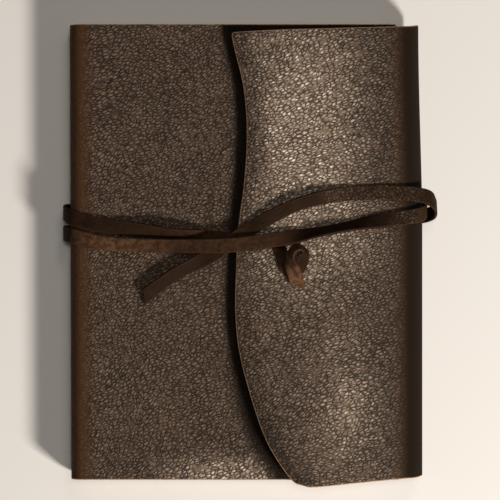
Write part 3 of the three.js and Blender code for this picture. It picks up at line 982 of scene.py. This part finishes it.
SECOND_TURN = [
    (0.0806, 0.0263, 0.0020, (0.5, 0, -0.85)),
    (0.0836, 0.0243, 0.0070, RIGHT),
    (0.0841, 0.0220, 0.0140, RIGHT),
    (0.0832, 0.0200, 0.0206, RIGHT),
    (0.0800, 0.0188, 0.0241, (0.5, 0, 0.85)),
    (0.0755, 0.0180, 0.02505, UP),
    (0.0680, 0.0170, 0.0252, (0, 0.1, 1)),
    (0.0600, 0.0159, 0.0262, (0, 0.35, 0.94)),
    (0.0500, 0.0141, 0.0272, (0, 0.75, 0.66)),
    (0.0400, 0.0122, 0.0275, (0, 0.82, 0.57)),
    (0.0300, 0.0102, 0.0272, (0, 0.75, 0.66)),
    (0.0200, 0.0085, 0.0271, (0, 0.35, 0.94)),
    (0.0120, 0.0072, 0.0271, (0, 0.1, 1)),
    (0.0040, 0.0060, 0.0269, (0, -0.05, 1)),
    (-0.0048, 0.0050, 0.0268, (0, -0.12, 0.99)),
    (-0.0110, 0.0044, 0.0267, (0, -0.15, 0.99)),
    (-0.0170, 0.0042, 0.0263, (0, -0.2, 0.98)),
    (-0.0230, 0.0042, 0.0256, (0, -0.25, 0.97)),
    (-0.0290, 0.0042, 0.0245, (0, -0.32, 0.95)),
    (-0.0360, 0.0043, 0.0236, (0, -0.38, 0.92)),
    (-0.0460, 0.0044, 0.0234, (0, -0.38, 0.92)),
    (-0.0590, 0.0048, 0.0228, (0, -0.25, 0.97)),
    (-0.0720, 0.0059, 0.0218, (0, -0.08, 1)),
    (-0.0795, 0.0076, 0.0216, UP),
    (-0.0856, 0.0092, 0.0198, (-0.5, 0, 0.85)),
    (-0.0884, 0.0102, 0.0155, LEFT),
    (-0.0889, 0.0106, 0.0110, LEFT),
    (-0.0880, 0.0107, 0.0056, LEFT),
    (-0.0843, 0.0106, 0.0015, (-0.5, 0, -0.85)),
]
LOWER_BACK = [
    (-0.0790, 0.0105, 0.00065, DOWN),
    (-0.0720, 0.0106, 0.00065, DOWN),
    (0.0690, 0.0173, 0.00065, DOWN),
    (0.0760, 0.0178, 0.00065, DOWN),
]
LAST_TURN = [
    (0.0820, 0.0185, 0.0016, (0.4, 0, -0.9)),
    (0.0872, 0.0198, 0.0060, RIGHT),
    (0.08885, 0.0215, 0.0125, RIGHT),
    (0.0880, 0.0243, 0.0190, RIGHT),
    (0.0845, 0.0273, 0.0239, (0.6, 0, 0.8)),
    (0.0790, 0.0286, 0.0253, UP),
    (0.0700, 0.0293, 0.02505, UP),
    (0.0624, 0.0297, 0.02505, UP),
    (0.0500, 0.0292, 0.0253, (0, -0.1, 1)),
    (0.0400, 0.0282, 0.0261, (0.05, -0.3, 0.95)),
    (0.0300, 0.0262, 0.0268, (0.15, -0.5, 0.85)),
    (0.0205, 0.0232, 0.0270, (0.25, -0.5, 0.83)),
    (0.0120, 0.0192, 0.0264, (0.2, -0.38, 0.9)),
    (0.0050, 0.0152, 0.0255, (0.1, -0.18, 0.98)),
    (0.0000, 0.0123, 0.02505, UP),
    (-0.0055, 0.0086, 0.02505, UP),
    (-0.0100, 0.0053, 0.0249, UP),
    (-0.0160, 0.0012, 0.0235, (0.05, -0.08, 1)),
    (-0.0225, -0.0024, 0.0226, (0.1, -0.2, 0.97)),
    (-0.0300, -0.0060, 0.0230, (0.2, -0.4, 0.9)),
    (-0.0405, -0.0124, 0.0233, (0.25, -0.45, 0.86)),
    (-0.0505, -0.0200, 0.0229, (0.2, -0.35, 0.9)),
]
LACE_NODES = [
    "lace_first_turn",
    "lace_under_back_upper",
    "lace_second_turn",
    "lace_under_back_lower",
    "lace_last_turn",
]


def spline_point(p0, p1, p2, p3, t):
    """A point on the centripetal Catmull-Rom curve between p1 and p2."""
    d0, d1, d2 = ((b - a).length ** 0.5 for a, b in ((p0, p1), (p1, p2), (p2, p3)))
    m1 = ((p1 - p0) / d0 - (p2 - p0) / (d0 + d1) + (p2 - p1) / d1) * d1
    m2 = ((p2 - p1) / d1 - (p3 - p1) / (d1 + d2) + (p3 - p2) / d2) * d1
    return hermite(p1, p2, m1, m2, t)


def section(width):
    """The lace's cross-section: a rectangle with round corners, across and out."""
    points = []
    for sign_x, sign_z, start in ((1, 1, 0), (-1, 1, 90), (-1, -1, 180), (1, -1, 270)):
        corner_x = sign_x * (width / 2 - LACE_ROUNDING)
        corner_z = sign_z * (LACE / 2 - LACE_ROUNDING)
        points += quarter_arc(corner_x, corner_z, LACE_ROUNDING, start, CORNER_STEPS)
        if sign_x == sign_z:
            points += [(sign_x * share * width, sign_z * LACE / 2) for share in ACROSS_SHARES]
    return points


def strap_line(stops, ring_step):
    """The strap's middle line, and at each of its points the way it faces and its width."""
    centres = [Vector(stop[:3]) + ROUTE_ZERO for stop in stops]
    facings = [Vector(stop[3]).normalized() for stop in stops]
    widths = [stop[4] if len(stop) > 4 else LACE_WIDTH for stop in stops]
    padded = [2 * centres[0] - centres[1], *centres, 2 * centres[-1] - centres[-2]]
    turns = [facings[0], *facings, facings[-1]]
    line, looks, breadths = [], [], []
    for i in range(len(stops) - 1):
        steps = max(2, math.ceil((centres[i + 1] - centres[i]).length / ring_step))
        for k in range(steps):
            t = k / steps
            line.append(spline_point(*padded[i : i + 4], t))
            looks.append(eased(*turns[i : i + 4], t))
            breadths.append(widths[i] + (widths[i + 1] - widths[i]) * t)
    return line + [centres[-1]], looks + [facings[-1]], breadths + [widths[-1]]


def strap(name, stops, ring_step, slant_end, pale_and_painted_light_at, grained_at, seed):
    """A flat strap along its stops. The slant pushes one side of its last end forward."""
    line, looks, breadths = strap_line(stops, ring_step)
    vertices, coordinates, edges, pale_and_painted_light_values, grain = [], [], [], [], []
    travelled = 0.0
    total = sum((b - a).length for a, b in zip(line, line[1:]))
    for i, centre in enumerate(line):
        before, after = line[max(i - 1, 0)], line[min(i + 1, len(line) - 1)]
        forward = (after - before).normalized()
        if i:
            travelled += (centre - line[i - 1]).length
        facing = (looks[i] - forward * looks[i].dot(forward)).normalized()
        across = facing.cross(forward)
        width = breadths[i] * (1 + 0.035 * noise.noise(Vector((travelled * 90, seed, 0))))
        curl = 0.16 * MM * noise.noise(Vector((travelled * 35, seed, 5)))
        push = slant_end * max(0.0, 1 - (total - travelled) / (2 * LACE_WIDTH))
        ring = section(width)
        for u, v in ring:
            side = u / (LACE_WIDTH / 2)
            cup = curl * (side * side - 0.4)
            shift = push * side
            vertices.append(centre + across * u + facing * (v + cup) + forward * shift)
            coordinates.append((travelled + shift, u, v))
            edges.append(1.0 if abs(u) > width / 2 - 0.5 * MM and abs(v) < 0.6 * LACE else 0.0)
        pale_and_painted_light_values += [pale_and_painted_light_at(centre)] * len(ring)
        grain += [grained_at(centre)] * len(ring)
    around = len(ring)
    last = (len(line) - 1) * around
    faces = [tuple(range(around))[::-1], tuple(range(last, last + around))]
    for start in range(0, last, around):
        for k in range(around):
            a, b = start + k, start + (k + 1) % around
            faces.append((a, b, b + around, a + around))
    made = add_mesh(name, vertices, faces, [LACE_LEATHER])
    store(made, "flat", coordinates, "FLOAT_VECTOR")
    for tone, values in (("edge", edges), ("pale_and_painted_light", pale_and_painted_light_values), ("grained", grain)):
        store(made, tone, values)
    face_outwards(made)
    for start in (0, last):
        sharpen(made, set(range(start, start + around)).issuperset)
    return made, line, total


def lace_painted_light(place):
    """The second turn is painted paler over the front cover, as painted light where it is lit."""
    if place.z < FRONT_Z:
        return 0.0
    along_turn = 0.32 + 0.68 * bell(place.x, -0.066, 0.018)
    return bell(place.y, 0.006, 0.004) * along_turn * (1 - smoothstep((place.x - 0.005) / 0.03))


def lace_grain(place):
    """The grain side of the lace shows where it leaves the fore-edge."""
    if place.z < FRONT_Z:
        return 0.0
    starts = 0.031 if place.y > 0.023 else 0.064
    return smoothstep((place.x - starts) / 0.008) * (1 - smoothstep((place.x - 0.076) / 0.008))


def no_grain(_):
    """The knot has none of the lace's pebbled side showing."""
    return 0.0


def knot_pale_and_painted_light(place):
    """The knot is painted paler on its end, and paler on top as a painted highlight."""
    on_end = smoothstep((-0.0035 - place.y) / 0.004) * smoothstep((place.z - 0.0255) / 0.001)
    return max(on_end, 0.5 * smoothstep((place.z - 0.0272) / 0.001))


def build_lace():
    stops = FIRST_TURN + UPPER_BACK + SECOND_TURN + LOWER_BACK + LAST_TURN
    lace, line, length = strap("lace", stops, 1.3 * MM, 2.0 * MM, lace_painted_light, lace_grain, 1.0)
    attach(lace, "back")
    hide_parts(*LACE_NODES)
    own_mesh(lace)
    tuple(line[0])
    [tuple(p) for p in line]


build_lace()

# The stopper knot: x, y, z, the way the face looks, and the width where the lace is crushed
KNOT = [
    (0.0130, 0.0042, 0.0213, (0, 1, 0), 0.0062),
    (0.0134, 0.0040, 0.0240, (-0.05, 1, 0.2), 0.0062),
    (0.0145, 0.0026, 0.0260, (-0.3, 0.5, 0.8), 0.0060),
    (0.0151, -0.0006, 0.0271, (-0.45, 0.1, 0.88), 0.0060),
    (0.0157, -0.0042, 0.0270, (-0.5, -0.1, 0.85), 0.0060),
    (0.0170, -0.0075, 0.0263, (-0.4, -0.4, 0.82), 0.0060),
    (0.0197, -0.0090, 0.0257, (-0.1, -0.5, 0.85), 0.0060),
    (0.0227, -0.0076, 0.0256, (0.15, -0.35, 0.92), 0.0060),
    (0.0243, -0.0042, 0.0257, (0.25, 0, 0.97), 0.0062),
    (0.0252, -0.0008, 0.0262, (0.3, 0.2, 0.93), 0.0060),
    (0.0253, 0.0022, 0.0272, (0.4, 0.75, 0.5), 0.0054),
    (0.0232, 0.0036, 0.0285, (0, 0.8, 0.6), 0.0050),
    (0.0203, 0.0022, 0.0292, (-0.55, 0.5, 0.67), 0.0048),
    (0.0190, -0.0010, 0.0293, (-0.7, 0.1, 0.7), 0.0050),
    (0.0192, -0.0044, 0.0291, (-0.35, -0.1, 0.93), 0.0060),
    (0.0206, -0.0077, 0.0287, UP, 0.0070),
    (0.0216, -0.0110, 0.0278, (0, 0.1, 1), 0.0071),
    (0.0221, -0.0147, 0.0264, (0, 0.15, 1), 0.0070),
]


def build_knot():
    knot, _, _ = strap("knot", KNOT, 0.6 * MM, 1.4 * MM, knot_pale_and_painted_light, no_grain, 2.0)
    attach(knot, "flap")
    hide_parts("lace_knot")


build_knot()


# ---- what the cover holds
SHEETS_PER_SIGNATURE = 4
PAPER_SHARE = 0.86  # of each sheet's room; the rest is air
FOLD_STEPS = 7
SIGNATURE_PITCH = 1.25 * MM
SLEEVE = 0.9 * MM


def folded_sheet(low, high, middle_z, radius, thickness):
    """One sheet folded at the spine: its outline seen from the tail, run to the head."""
    outer, inner = [], []
    for line, reach in ((outer, radius), (inner, radius - thickness)):
        line.append((high.x, middle_z - reach))
        for i in range(FOLD_STEPS + 1):
            angle = 1.5 * math.pi - math.pi * i / FOLD_STEPS
            line.append((low.x + radius + reach * math.cos(angle), middle_z + reach * math.sin(angle)))
        line.append((high.x, middle_z + reach))
    outline = outer + inner[::-1]
    vertices = [(x, y, z) for y in (low.y, high.y) for x, z in outline]
    count = len(outline)
    faces = []
    for i in range(count):
        after = (i + 1) % count
        faces.append((i, after, count + after, count + i))
    for i in range(len(outer) - 1):
        quad = (i + 1, i, count - 1 - i, count - 2 - i)
        faces += [quad, tuple(count + k for k in reversed(quad))]
    return vertices, faces


def build_signature(number, body):
    """Four sheets folded one inside the other, their edges not quite level."""
    node = f"signature_{number}"
    low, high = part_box(node)
    vertices, faces = [], []
    half = (high.z - low.z) / 2
    layer = half / SHEETS_PER_SIGNATURE
    for k in range(SHEETS_PER_SIGNATURE):
        wander = 0.12 * MM * noise.noise(Vector((number * 3.7, k * 1.9, 0.5)))
        sheet_low = Vector((low.x + k * layer, low.y + abs(wander), 0))
        sheet_high = Vector((high.x - 0.15 * MM + wander, high.y - abs(wander) * 0.7, 0))
        more_vertices, more_faces = folded_sheet(
            sheet_low, sheet_high, low.z + half, half - k * layer, layer * PAPER_SHARE
        )
        first = len(vertices)
        vertices += more_vertices
        faces += [tuple(first + i for i in face) for face in more_faces]
    made = add_mesh(f"pages_{number}", vertices, faces, [PAPER], smooth=False)
    face_outwards(made)
    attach(made, body)
    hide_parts(node)


def build_board(node, name, body, rounding):
    """The CAD board again, with its hard edges eased."""
    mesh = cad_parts[node].data.copy()
    mesh.name = name
    made = add_object(name, mesh)
    shape = bmesh.new()
    shape.from_mesh(mesh)
    bmesh.ops.remove_doubles(shape, verts=shape.verts, dist=NEAR)
    flat_enough = math.radians(1)
    bmesh.ops.dissolve_limit(shape, angle_limit=flat_enough, verts=shape.verts, edges=shape.edges)
    hard = [e for e in shape.edges if e.is_manifold and e.calc_face_angle() > math.radians(40)]
    bmesh.ops.bevel(
        shape, geom=hard, offset=rounding, segments=3, profile=0.6, affect="EDGES", clamp_overlap=True
    )
    bmesh.ops.recalc_face_normals(shape, faces=shape.faces)
    shape.to_mesh(mesh)
    shape.free()
    mesh.materials.clear()
    mesh.materials.append(BOARD_PAPER)
    for face in mesh.polygons:
        face.use_smooth = False
    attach(made, body)
    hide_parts(node)


def build_lining():
    """A strip of open-weave cloth glued along the backs of the signatures."""
    low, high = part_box("refill_spine_lining")
    rows, columns = 14, 60
    vertices = []
    for side in (low.x, high.x):
        for i in range(rows + 1):
            z = low.z + (high.z - low.z) * i / rows
            x = side + 0.06 * MM * math.cos(2 * math.pi * (z - low.z) / SIGNATURE_PITCH)
            vertices += [(x, low.y + (high.y - low.y) * k / columns, z) for k in range(columns + 1)]
    wide = columns + 1
    sheet = (rows + 1) * wide
    faces = []
    for i in range(rows):
        for k in range(columns):
            a = i * wide + k
            quad = (a, a + 1, a + 1 + wide, a + wide)
            faces += [quad, tuple(sheet + corner for corner in reversed(quad))]
    ends = [(i * wide, (i + 1) * wide) for i in range(rows)]
    ends += [((i + 1) * wide + columns, i * wide + columns) for i in range(rows)]
    ends += [(k + 1, k) for k in range(columns)]
    ends += [(rows * wide + k, rows * wide + k + 1) for k in range(columns)]
    faces += [(a, b, sheet + b, sheet + a) for a, b in ends]
    made = add_mesh("spine_lining", vertices, faces, [LINING_CLOTH])
    face_outwards(made)
    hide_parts("refill_spine_lining")
    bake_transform(made)


def build_sleeve(node, name, body, cover_side):
    """A leaf of thin leather, glued down on three sides over one end of a board."""
    low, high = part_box(node)
    leaf_z, glued_z = low.z + SLEEVE / 2, high.z - SLEEVE / 2
    if cover_side < 0:
        leaf_z, glued_z = glued_z, leaf_z

    def place(x, y, out):
        inward = min(high.x - x, y - low.y, high.y - y)
        share = 1 - smoothstep((inward - 0.9 * MM) / (1.5 * MM))
        z = leaf_z + (glued_z - leaf_z) * share
        z += cover_side * 0.04 * MM * ripple(x, y, 11, 0.03)
        return Vector((x, y, z - cover_side * out))

    edge = 0.3 * MM
    rounding = 2.5 * MM
    outline = []
    right = high.x - edge - rounding
    for middle_y, start in ((low.y + edge + rounding, 270), (high.y - edge - rounding, 0)):
        outline += quarter_arc(right, middle_y, rounding, start, 6)
    outline += [(low.x + edge, high.y - edge), (low.x + edge, low.y + edge)]
    outline = resampled(outline, 2.5 * MM)
    fine = spread(0, 3.2 * MM, 0.45 * MM)
    columns = spread(low.x + 1 * MM, high.x - 4 * MM, 4 * MM) + [high.x - f for f in fine]
    rows = spread(low.y + 4 * MM, high.y - 4 * MM, 4 * MM)
    rows += [low.y + f for f in fine] + [high.y - f for f in fine]
    finishes = [SLEEVE_LEATHER, SLEEVE_LEATHER, CUT_EDGE]
    made, _ = sheet_of_leather(name, outline, [], columns, rows, place, SLEEVE, edge, [], finishes)
    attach(made, body)
    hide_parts(node)


for number in range(1, 9):
    build_signature(number, "back" if number <= 4 else "pages")
build_board("refill_back_board", "back_board", "back", 0.3 * MM)
build_board("refill_front_board", "front_board", "front", 0.3 * MM)
build_board("refill_spine_strip", "spine_strip", "spine", 0.2 * MM)
build_lining()
build_sleeve("back_sleeve", "back_sleeve_leather", "back", -1)
build_sleeve("front_sleeve", "front_sleeve_leather", "front", 1)
